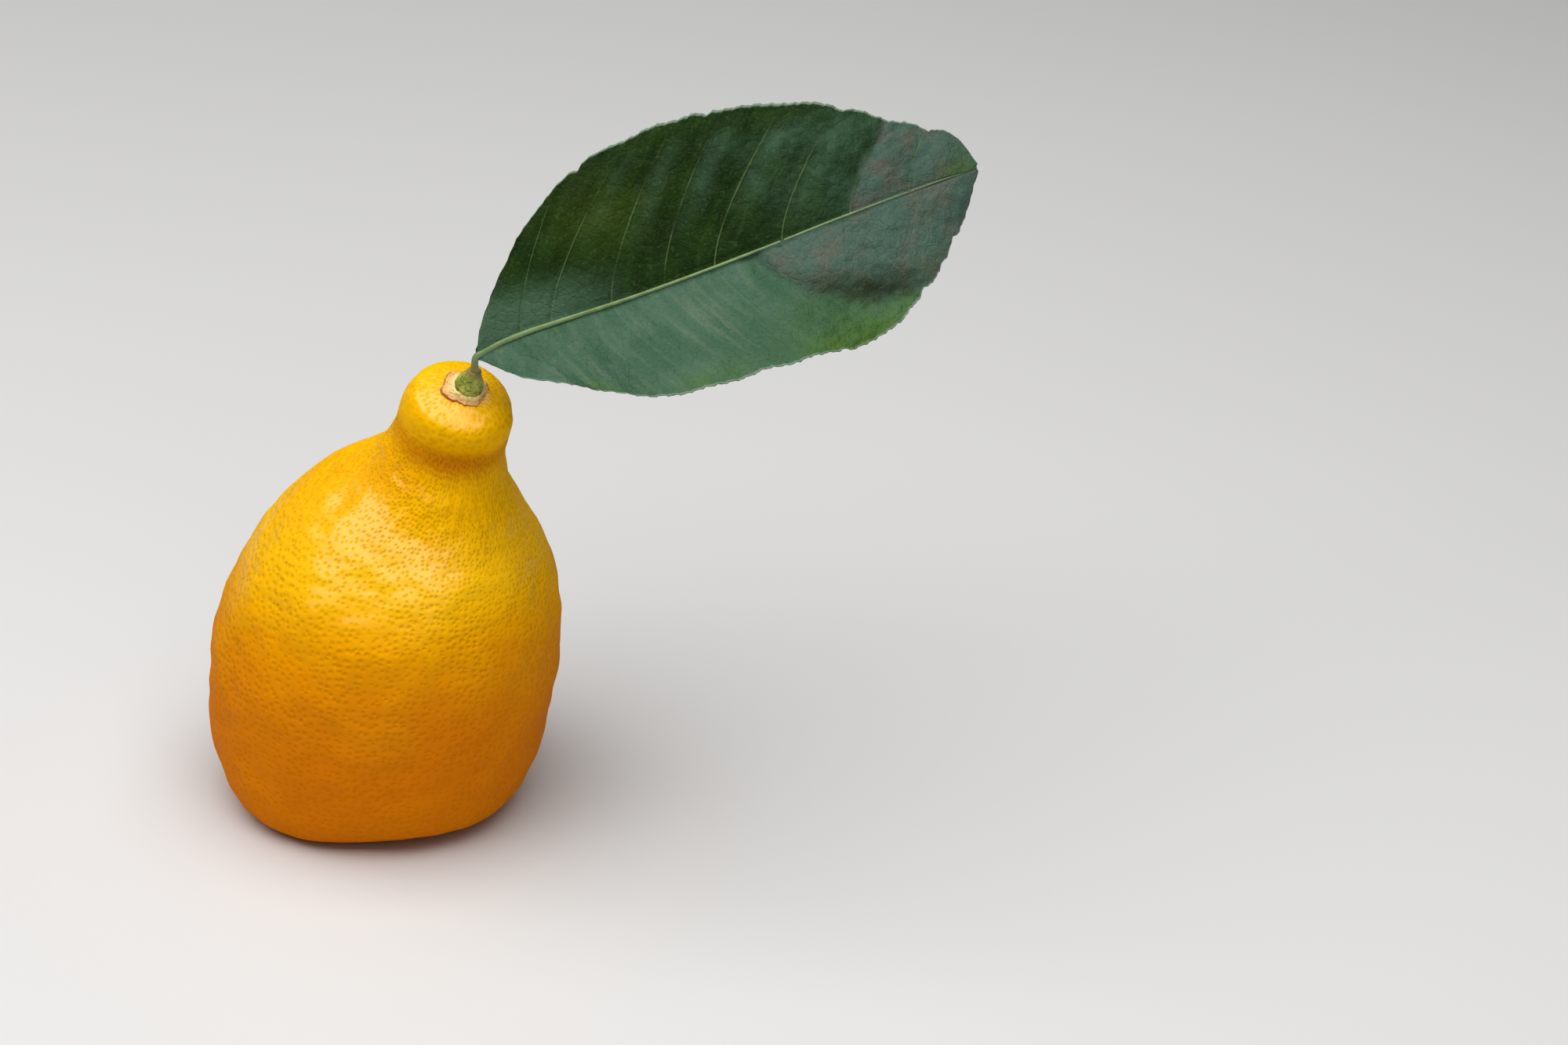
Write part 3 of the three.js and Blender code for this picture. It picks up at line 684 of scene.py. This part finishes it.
def blade_skin(share, out):
    """The blade's middle surface. out runs from -1, the lower margin, over the midrib, 0, to 1, the upper margin.
    A point lies on its vein's curve from the midrib to the margin, and its height is the sum of the blade's arch,
    its half's slope, the swelling between two veins, the margin's swing and, in the lower half, the crease.
    """
    along, veins, bend, *margins = np.moveaxis(along_rows(VEIN_ROWS, share), -1, 0)
    upper, away = out >= 0, np.abs(out)
    margin_along = np.where(upper, margins[0], margins[2])
    margin_across = np.where(upper, margins[1], margins[3])
    relief = np.minimum(margin_across / FULL_FORM_ACROSS, 1)
    between = relief * np.sin(np.pi * veins) ** 2
    x = along + (margin_along - along) * away**VEIN_CURVE
    (tall, wide), (low, narrow) = SCALLOPS
    cut = tall * np.sin(wide * margin_along + 2 * np.sin(0.37 * margin_along))
    cut = cut + low * np.sin(narrow * margin_along)
    for place, half, depth, width in NICKS:
        cut = cut - depth * bell(margin_along - place, width) * (upper == (half > 0))
    across = (margin_across + MARGIN_REACH * between) * away + cut * relief * away**SCALLOP_POWER

    way = x / LEAF_LENGTH
    arch = ARCH_HEIGHT * np.sin(np.pi * np.clip(way, 0, 1)) - TIP_DROP * np.clip(way, 0, 1) ** 3
    flattening = 1 - bell(np.maximum(way - FLATTER_FROM, 0), FLATTER_EASE)
    slope = np.where(upper, UPPER_SLOPE - UPPER_LOSS * way, LOWER_SLOPE - LOWER_LOSS * flattening)
    fold = slope * (np.hypot(across, MIDRIB_ROUND) - MIDRIB_ROUND)
    turn = 2 * np.pi * x / SWING_LENGTH
    swing = np.where(upper, SWING_UPPER * np.cos(turn), SWING_LOWER * np.sin(turn)) * relief * away**2
    tuck = -TUCK_DEPTH * bell(across - tuck_line(x), TUCK_WIDTH)
    tuck = tuck * bell(np.maximum(TUCK_FULL_FROM - x, 0), TUCK_START)
    tuck = tuck * bell(np.maximum(x - TUCK_FULL_TO, 0), TUCK_END)
    z = arch + fold + SWELL_HEIGHT * between * np.sin(np.pi * away) + swing + np.where(upper, 0, tuck)
    return np.stack([x, bend * (1 - away) + np.where(upper, across, -across), z], -1)


def veins_behind(share, out):
    """How many side veins lie behind each point, a whole number on a vein."""
    return along_rows(VEIN_ROWS, share)[..., 1] + 0 * out


def vein_lines(points, share, out):
    """The veins behind each point, how far apart they are there, in millimetres, and how strong they are."""
    veins = veins_behind(share, out)
    step = np.linalg.norm(np.gradient(points, axis=0), axis=-1) / np.maximum(np.gradient(veins, axis=0), 1e-6)
    strength = np.where(out >= 0, 1.0, LOWER_VEINS) * (1 - ramp(np.abs(out), *VEINS_FADE)) * ramp(veins, *VEINS_BEGIN)
    return veins, np.minimum(step, WIDEST_GAP), strength


def blade_relief(points, share, out):
    """Ridges on the side veins, skin that sags from one vein to the next, puckers, and a furrow beside the midrib."""
    veins, step, strength = vein_lines(points, share, out)
    x, away = points[..., 0], np.abs(out)
    ridge = RIDGE_HEIGHT * bell((veins - np.round(veins)) * step, RIDGE_WIDTH) * strength
    between = veins - np.floor(veins)
    sag = (SAG_HEIGHT + SAG_GROWTH * ramp(veins, 2, 4)) * np.sin(np.pi * between) * (1 - between)
    sag = sag * ramp(away, 0.05, 0.4) * (1 - ramp(away, 0.8, 1)) * strength
    fine, wide = (height * waves(points, length, seed) for height, length, seed in (FINE_PUCKERS, WIDE_PUCKERS))
    puckers = (fine * (1 + 1.6 * ramp(x, 50, 66)) + wide) * ramp(away, 0, 0.3) * ramp(x, 94, 89)
    furrow = -FURROW_DEPTH * bell(away - FURROW_PLACE, FURROW_WIDTH) * ramp(veins, 0.2, 0.8)
    return ridge + sag + puckers + furrow


def blade_patches(points, share, out):
    """Where the blade's colour differs. Each patch is a product of bells and ramps over the millimetres along the
    leaf, x, and away from the midrib, y, or over the place between two veins and the way out to the margin.
    """
    x, y = points[..., 0], np.abs(points[..., 1])
    x = x + 0.9 * waves(points, 9, 33) + 0.4 * waves(points, 3, 34)
    veins = veins_behind(share, out)
    upper, away = out >= 0, np.abs(out)
    between = veins - np.floor(veins)
    panel = np.interp(veins, [0, 1, 2, 3, 4, 5, 6, 6.9], [0.05, 0.05, 0.1, 0.45, 0.75, 0.8, 0.8, 0.5])
    # Painted sheen on one side of each panel between the side veins, in the upper half
    painted_sheen = bell(between - 0.28, 0.22) * ramp(away, 0.25, 0.55) * (1 - ramp(away, 0.8, 0.97)) * panel * upper
    base = ramp(y + 0.12 * x, 13, 5) * ramp(x, 34, 12) * upper
    above_tuck = ramp(tuck_line(x) - y, -1.0, 2.0) * ramp(x, 49, 55)
    # Painted grey-mauve sheen on the outer part towards the tip: past the seventh vein above, inside the crease below
    painted_tip_sheen = np.where(upper, ramp(veins + 0.02 * waves(points, 5, 35), 6.88, 7.1), above_tuck)
    teal = ramp(x + 0.4 * y, 52, 74) * (1 - ramp(y, 16, 21)) * (veins < 7) * upper
    # Painted shade in a brownish green, just inside the lower half's crease
    brown = np.where(upper, 0, bell(x - 69, 9) * bell(y - tuck_line(x) + 2.2, 2.8))
    olive = bell(x - 28, 9) * bell(y - 15, 6) * upper
    rim = ramp(away, 0.66, 0.95)
    lime = bell(x - 64, 12) * rim**0.7 + 0.6 * (bell(x - 37, 6) + bell(x - 18, 4)) * rim**2
    lime = lime * (1 - upper) * (1 - brown) + 0.7 * ramp(x, 85, 92) * bell(y, 4) * upper
    green = (bell(x - 57, 8) * bell(y - 15, 4.5) + 0.2 * bell(x - 15, 7) * bell(y, 3)) * (1 - upper)
    return {"painted_sheen": painted_sheen, "base": base, "painted_tip_sheen": painted_tip_sheen, "brown": brown,
            "olive": olive, "lime": lime, "teal": teal, "green": green}


def grid_faces(rows, columns, start=0, flip=False):
    """Quads between the neighbouring points of an open grid, turned over where flip is set."""
    row, column = np.meshgrid(np.arange(rows - 1), np.arange(columns - 1), indexing="ij")
    here = start + row * columns + column
    quads = np.stack([here, here + columns, here + columns + 1, here + 1], -1).reshape(-1, 4)
    return quads[:, ::-1] if flip else quads


def blade_grid():
    """Two faces a blade's thickness apart, thinner at the margin, joined by a strip round their edge. The rows are
    an equal way apart along the midrib, and the columns stand closer together towards the margins.
    """
    fine = np.linspace(0, 1, FINE_STEPS)
    along = along_rows(VEIN_ROWS, fine)[:, 0]
    share = np.interp(np.linspace(0, LEAF_LENGTH - TIP_GAP, LEAF_ROWS), along, fine)[:, None]
    steps = np.linspace(-1, 1, 2 * HALF_COLUMNS + 1)
    crowded = 1 - (1 - np.abs(steps)) ** 2
    out = (np.sign(steps) * ((1 - MARGIN_CROWDING) * np.abs(steps) + MARGIN_CROWDING * crowded))[None, :]
    middle = blade_skin(share, out)
    relief = blade_relief(middle, share, out)
    normal = outward(middle, False)
    normal = np.where(normal[..., 2:] < 0, -normal, normal)
    half = (EDGE_THICKNESS + (BLADE_THICKNESS - EDGE_THICKNESS) * (1 - np.abs(out) ** EDGE_POWER)) / 2 + 0 * share
    front = middle + normal * (relief + half)[..., None]
    back = middle + normal * (relief - half)[..., None]
    rows, columns = middle.shape[:2]
    count = rows * columns
    index = np.arange(count).reshape(rows, columns)
    edge = np.concatenate([index[:, 0], index[-1, 1:], index[-2::-1, -1], index[0, -2:0:-1]])
    after = np.roll(edge, -1)
    strip = np.stack([edge, edge + count, after + count, after], -1)
    faces = np.vstack([grid_faces(rows, columns), grid_faces(rows, columns, count, True), strip])
    veins, step, strength = vein_lines(middle, share, out)
    values = {"veins": veins, "step": step, "strength": strength, "out": out + 0 * share, "front": 1 + 0 * veins}
    values.update(blade_patches(middle, share, out))
    values = {label: np.concatenate([numbers.ravel()] * 2) for label, numbers in values.items()}
    values["front"][count:] = 0
    return np.vstack([front.reshape(-1, 3), back.reshape(-1, 3)]), faces.tolist(), values


def leaf_finish():
    """Dull underside, dark green over the midrib and grey-green under it, partly painted shade and painted sheen,
    mottled with a painted mauve sheen to the tip; glossier back.
    """
    leaf = Finish("leaf_green", Roughness=0.5, IOR=1.4, Specular_IOR_Level=0.12)
    out, strength = leaf.named("out"), leaf.named("strength")
    upper = leaf.ramp(out, -0.02, 0.02)
    clouds = leaf.ramp(leaf.noise(130, 5), 0.35, 0.68)
    mottle = leaf.ramp(leaf.noise(210, 6), 0.3, 0.72)
    fine = leaf.noise(1700, 4)

    # The two halves, each with paler and darker streaks that run along its side veins. The upper half's dark green is
    # partly painted shade and the lower half's grey-green partly painted sheen, over their own colours
    dark = leaf.mix(clouds, rgb(17, 37, 3), rgb(27, 51, 8))
    pale = leaf.mix(clouds, rgb(58, 90, 70), rgb(70, 99, 81))
    dark_streak, pale_streak, deep_streak = rgb(46, 74, 26), rgb(100, 116, 94), rgb(48, 82, 52)
    flow = leaf.node("ShaderNodeCombineXYZ", {}, {0: leaf.named("veins"), 1: out, 2: upper})
    streak = leaf.node("ShaderNodeMapping", {}, {"Vector": flow, "Scale": (5.0, 1.4, 9.0)})
    streaks = leaf.noise(1.0, 6, streak)
    pale = leaf.mix(leaf.ramp(streaks, 0.48, 0.72) * 0.45, pale, pale_streak)
    pale = leaf.mix(leaf.ramp(streaks, 0.48, 0.3) * 0.4, pale, deep_streak)
    dark = leaf.mix(leaf.ramp(streaks, 0.48, 0.75) * 0.4, dark, dark_streak)
    colour = leaf.mix(upper, pale, dark)

    # The patches, each over the ones before it: name, how strong it is, how much the mottling adds, and colour
    # The mauve of the tip's outer part is a painted sheen
    mauve = leaf.mix(leaf.ramp(mottle, 0.2, 1.1), rgb(70, 94, 84), rgb(88, 91, 83))
    patches = [
        ["base", 0.85, 0, rgb(74, 104, 80)],
        ["teal", 0.35, 0.4, rgb(50, 78, 58)],
        ["olive", 0.5, 0, rgb(56, 74, 10)],
        # Painted sheen beside the side veins
        ["painted_sheen", 0.15, 0.5, rgb(58, 88, 66)],
        ["painted_tip_sheen", 0.85, 0, mauve],
        # Painted shade along the crease
        ["brown", 0.7, 0.3, rgb(40, 42, 20)],
        ["green", 0.4, 0.4, rgb(56, 88, 48)],
        ["lime", 0.4, 0.5, rgb(72, 106, 34)],
    ]
    for label, plain, mottled, patch in patches:
        colour = leaf.mix(leaf.named(label) * (plain + mottle * mottled), colour, patch)
    pale_speck, dark_speck = rgb(104, 128, 96), rgb(18, 34, 10)
    colour = leaf.mix(leaf.ramp(fine, 0.52, 0.75) * 0.12, colour, pale_speck)
    colour = leaf.mix(leaf.ramp(fine, 0.5, 0.3) * 0.18, colour, dark_speck)

    # The side veins, each a pale line with a shade on one side, then the margin's rim: a painted pale rim light,
    # mauve-brown by the foot of the upper half
    vein_shade, vein_green = rgb(18, 36, 8), rgb(112, 138, 84)
    painted_rim_light, rim_purple = rgb(132, 152, 132), rgb(86, 70, 72)
    phase = leaf.named("veins")
    spread = (phase - phase.math("ROUND", phase)) * leaf.named("step")
    line = leaf.ramp(spread.math("ABSOLUTE", spread), 0.2, 0.05) * strength * leaf.ramp(leaf.noise(90, 2), 0.3, 0.6)
    shade = leaf.ramp(spread, -1.3, -0.1) * leaf.ramp(spread, 0.2, 0.0) * strength
    colour = leaf.mix(shade * upper * 0.3, colour, vein_shade)
    colour = leaf.mix(line * 0.4, colour, vein_green)
    rim = leaf.ramp(out.math("ABSOLUTE", out), 0.98, 0.993)
    edge = leaf.mix(leaf.ramp(phase, 1.0, 0.6) * upper, painted_rim_light, rim_purple)
    colour = leaf.mix(rim * 0.7, colour, edge)

    # The upper side, which faces away
    back = leaf.mix(clouds, rgb(34, 62, 18), rgb(46, 78, 24))
    back = leaf.mix(line * 0.3, back, rgb(110, 140, 70))
    colour = leaf.mix(leaf.named("front"), back, colour)
    roughness = 0.42 + leaf.named("front") * 0.14 + fine * 0.08
    net = leaf.bump(leaf.ramp(leaf.cell_edges(620), 0.0, 0.12), 0.0001, 0.6)
    grain = leaf.bump(leaf.noise(900, 5), 0.0003, over=net)
    return leaf.paint(Base_Color=colour, Roughness=roughness, Normal=grain)


points, faces, blade_values = blade_grid()
add_piece("leaf_blade", in_leaf(points), faces, leaf_finish(), "leaf", blade_values)

# The leaf's stalk and midrib
# The stalk springs from the stem's tip, bends towards the leaf and runs on as the midrib: one round, pale green rib
# that stands out of the underside and thins away towards the leaf's tip.
RIB_SHARES = np.array([0, 0.07, 0.14, 0.22, 0.3, 0.4, 0.5, 0.6, 0.7, 0.8, 0.9, 0.97])
STALK_RADIUS, RIB_END_RADIUS = 0.66, 0.1
RIB_RINGS, RIB_SIDES = 300, 28
RIB_LIFT, RIB_FLATNESS = 0.2, 0.85
FOOT_SINK, FOOT_SWELL, FOOT_SPREAD = 0.25, 0.25, 0.012
THINNING, TIP_RADIUS = 0.48, 0.05
TAPER_FROM, TAPER_TO = 0.94, 1.02
TWIST_COUNT, TWIST_DEPTH, TWIST_TURN = 3, 0.03, 6


def from_fruit(points):
    """The opposite of in_leaf: points of the fruit's millimetres in the leaf's own flat."""
    return risen(tilted(points - LEAF_PLACE, 0, -LEAF_LEAN), -LEAF_RISE)


def rib_skin():
    """An oval carried along the stalk's line and the midrib's, sunk half into the blade's face. Its radius falls
    from the stalk's by a power of the way along and ends in a taper, and low ridges twist round it.
    """
    foot = from_fruit(on_seat(stem_top - [0, 0, FOOT_SINK]))
    spine = blade_skin(RIB_SHARES, 0 * RIB_SHARES)
    spine[:, 2] += RIB_LIFT
    line = along_rows(np.vstack([foot, spine]), np.linspace(0, 1, 3001))
    length = np.concatenate([[0], np.linalg.norm(np.diff(line, axis=0), axis=-1).cumsum()])
    share = np.linspace(0, 1, RIB_RINGS)
    line = np.stack([np.interp(share * length[-1], length, line[:, axis]) for axis in range(3)], -1)
    tangent = np.gradient(line, axis=0)
    tangent /= np.linalg.norm(tangent, axis=-1, keepdims=True)
    side = np.cross(tangent, [0, 0, 1])
    side /= np.linalg.norm(side, axis=-1, keepdims=True)
    rise = np.cross(side, tangent)
    taper = ramp(share, TAPER_TO, TAPER_FROM)
    radius = (STALK_RADIUS + (RIB_END_RADIUS - STALK_RADIUS) * share**THINNING) * taper + TIP_RADIUS
    radius = radius * (1 + FOOT_SWELL * bell(share, FOOT_SPREAD))
    angle = np.linspace(0, 2 * np.pi, RIB_SIDES, endpoint=False)
    twist = np.sin(TWIST_COUNT * angle[None, :] + TWIST_TURN * share[:, None])
    radius = radius[:, None] * (1 + TWIST_DEPTH * twist)
    level, up = radius * np.cos(angle), radius * RIB_FLATNESS * np.sin(angle)
    rings = line[:, None] + level[..., None] * side[:, None] + up[..., None] * rise[:, None]
    return rings, line, share[:, None] + 0 * radius, np.sin(angle)[None, :] + 0 * radius


def rib_finish():
    """Pale green with painted shade down its round sides, brown at the joint with the stem, and greyer towards the
    leaf's tip, where it takes the blade's painted sheen.
    """
    rib = Finish("midrib_green", Roughness=0.45)
    green, pale, side, brown, grey = (
        rgb(98, 124, 74), rgb(116, 142, 90), rgb(54, 78, 38), rgb(132, 118, 70), rgb(74, 98, 76))
    share = rib.named("share")
    colour = rib.mix(rib.ramp(rib.noise(500, 3), 0.35, 0.65), green, pale)
    # Painted shade down the rib's round sides
    colour = rib.mix(rib.ramp(rib.named("crown"), 0.75, 0.1) * 0.6, colour, side)
    colour = rib.mix(rib.ramp(share, 0.035, 0.0), colour, brown)
    # Painted sheen: greyer towards the tip, like the blade's painted sheen there
    colour = rib.mix(rib.ramp(share, 0.66, 0.92) * 0.65, colour, grey)
    return rib.paint(Base_Color=colour, Normal=rib.bump(rib.noise(1500, 3), 0.0001))


rib_points, rib_line, rib_share, rib_crown = rib_skin()
points, faces = closed_rings(rib_points, rib_line[[0, -1]])
rib_values = {"share": np.append(rib_share.ravel(), [0, 1]), "crown": np.append(rib_crown.ravel(), [0, 0])}
add_piece("leaf_midrib", in_leaf(points), faces, rib_finish(), "leaf", rib_values)

# The table
# A plain pale sheet of paper, wide enough to fill the picture, that the fruit stands on. It lies level at the
# height of the fruit's flat spot.
TABLE_SIZE = 8
bpy.ops.mesh.primitive_plane_add(size=TABLE_SIZE)
table = bpy.context.object
table.name = "table"
paper = Finish("table_paper", Roughness=0.55)
grey_white, white = rgb(212, 213, 214), rgb(218, 219, 220)
table.data.materials.append(paper.paint(Base_Color=paper.mix(paper.noise(3, 2), grey_white, white)))

# The light
# One large soft box hangs over the fruit, a little in front of it and to the left. A weak one in front lights the
# lower half, and pale walls fill the rest.
WORLD_LIGHT = 0.1
WALL_COLOUR = (0.95, 0.97, 1.0, 1)


def add_soft_box(name, place, target, width, depth, power, colour=(1, 1, 1)):
    """A rectangular lamp that faces its target. Places and sizes are in metres, the power is in watts."""
    light = bpy.data.lights.new(name, "AREA")
    light.shape = "RECTANGLE"
    light.size, light.size_y, light.energy, light.color = width, depth, power, colour
    box = bpy.data.objects.new(name, light)
    bpy.context.scene.collection.objects.link(box)
    box.location = place
    towards = np.array(target) - np.array(place)
    box.rotation_euler = Vector(towards).to_track_quat("-Z", "Y").to_euler()


add_soft_box("top_box", place=(-0.16, -0.16, 0.88), target=(-0.16, 0, 0.06), width=1.3, depth=1.05, power=14.2,
             colour=(1, 0.98, 0.95))
add_soft_box("front_fill", place=(0.4, -0.9, 0.6), target=(0.03, 0, 0.08), width=0.7, depth=0.7, power=0.8)
world = bpy.data.worlds.new("studio")
world.use_nodes = True
walls = world.node_tree.nodes["Background"]
walls.inputs["Color"].default_value, walls.inputs["Strength"].default_value = WALL_COLOUR, WORLD_LIGHT
bpy.context.scene.world = world
bpy.context.scene.view_settings.view_transform = "Standard"

# The camera
# It looks along +Y and 27 degrees down through a long lens, rolled 3 degrees, as the photograph was taken.
# Its place is in millimetres.
CAMERA_PLACE = np.array([73.218, -628.381, 380.083])
CAMERA_DOWN = np.radians(27)
CAMERA_ROLL = np.radians(3.135)
LENS, SENSOR = 90.0, 36.0

look = np.array([0, np.cos(CAMERA_DOWN), -np.sin(CAMERA_DOWN)])
level, upright = np.array([1.0, 0, 0]), np.array([0, np.sin(CAMERA_DOWN), np.cos(CAMERA_DOWN)])
sideways = level * np.cos(CAMERA_ROLL) + upright * np.sin(CAMERA_ROLL)
upwards = upright * np.cos(CAMERA_ROLL) - level * np.sin(CAMERA_ROLL)
lens = bpy.data.cameras.new("camera")
lens.lens, lens.sensor_width, lens.sensor_fit = LENS, SENSOR, "HORIZONTAL"
lens.clip_start = 0.01
camera = bpy.data.objects.new("camera", lens)
bpy.context.scene.collection.objects.link(camera)
placed = np.eye(4)
placed[:3, 0], placed[:3, 1], placed[:3, 2], placed[:3, 3] = sideways, upwards, -look, CAMERA_PLACE / 1000
camera.matrix_world = Matrix(placed.tolist())
bpy.context.scene.camera = camera
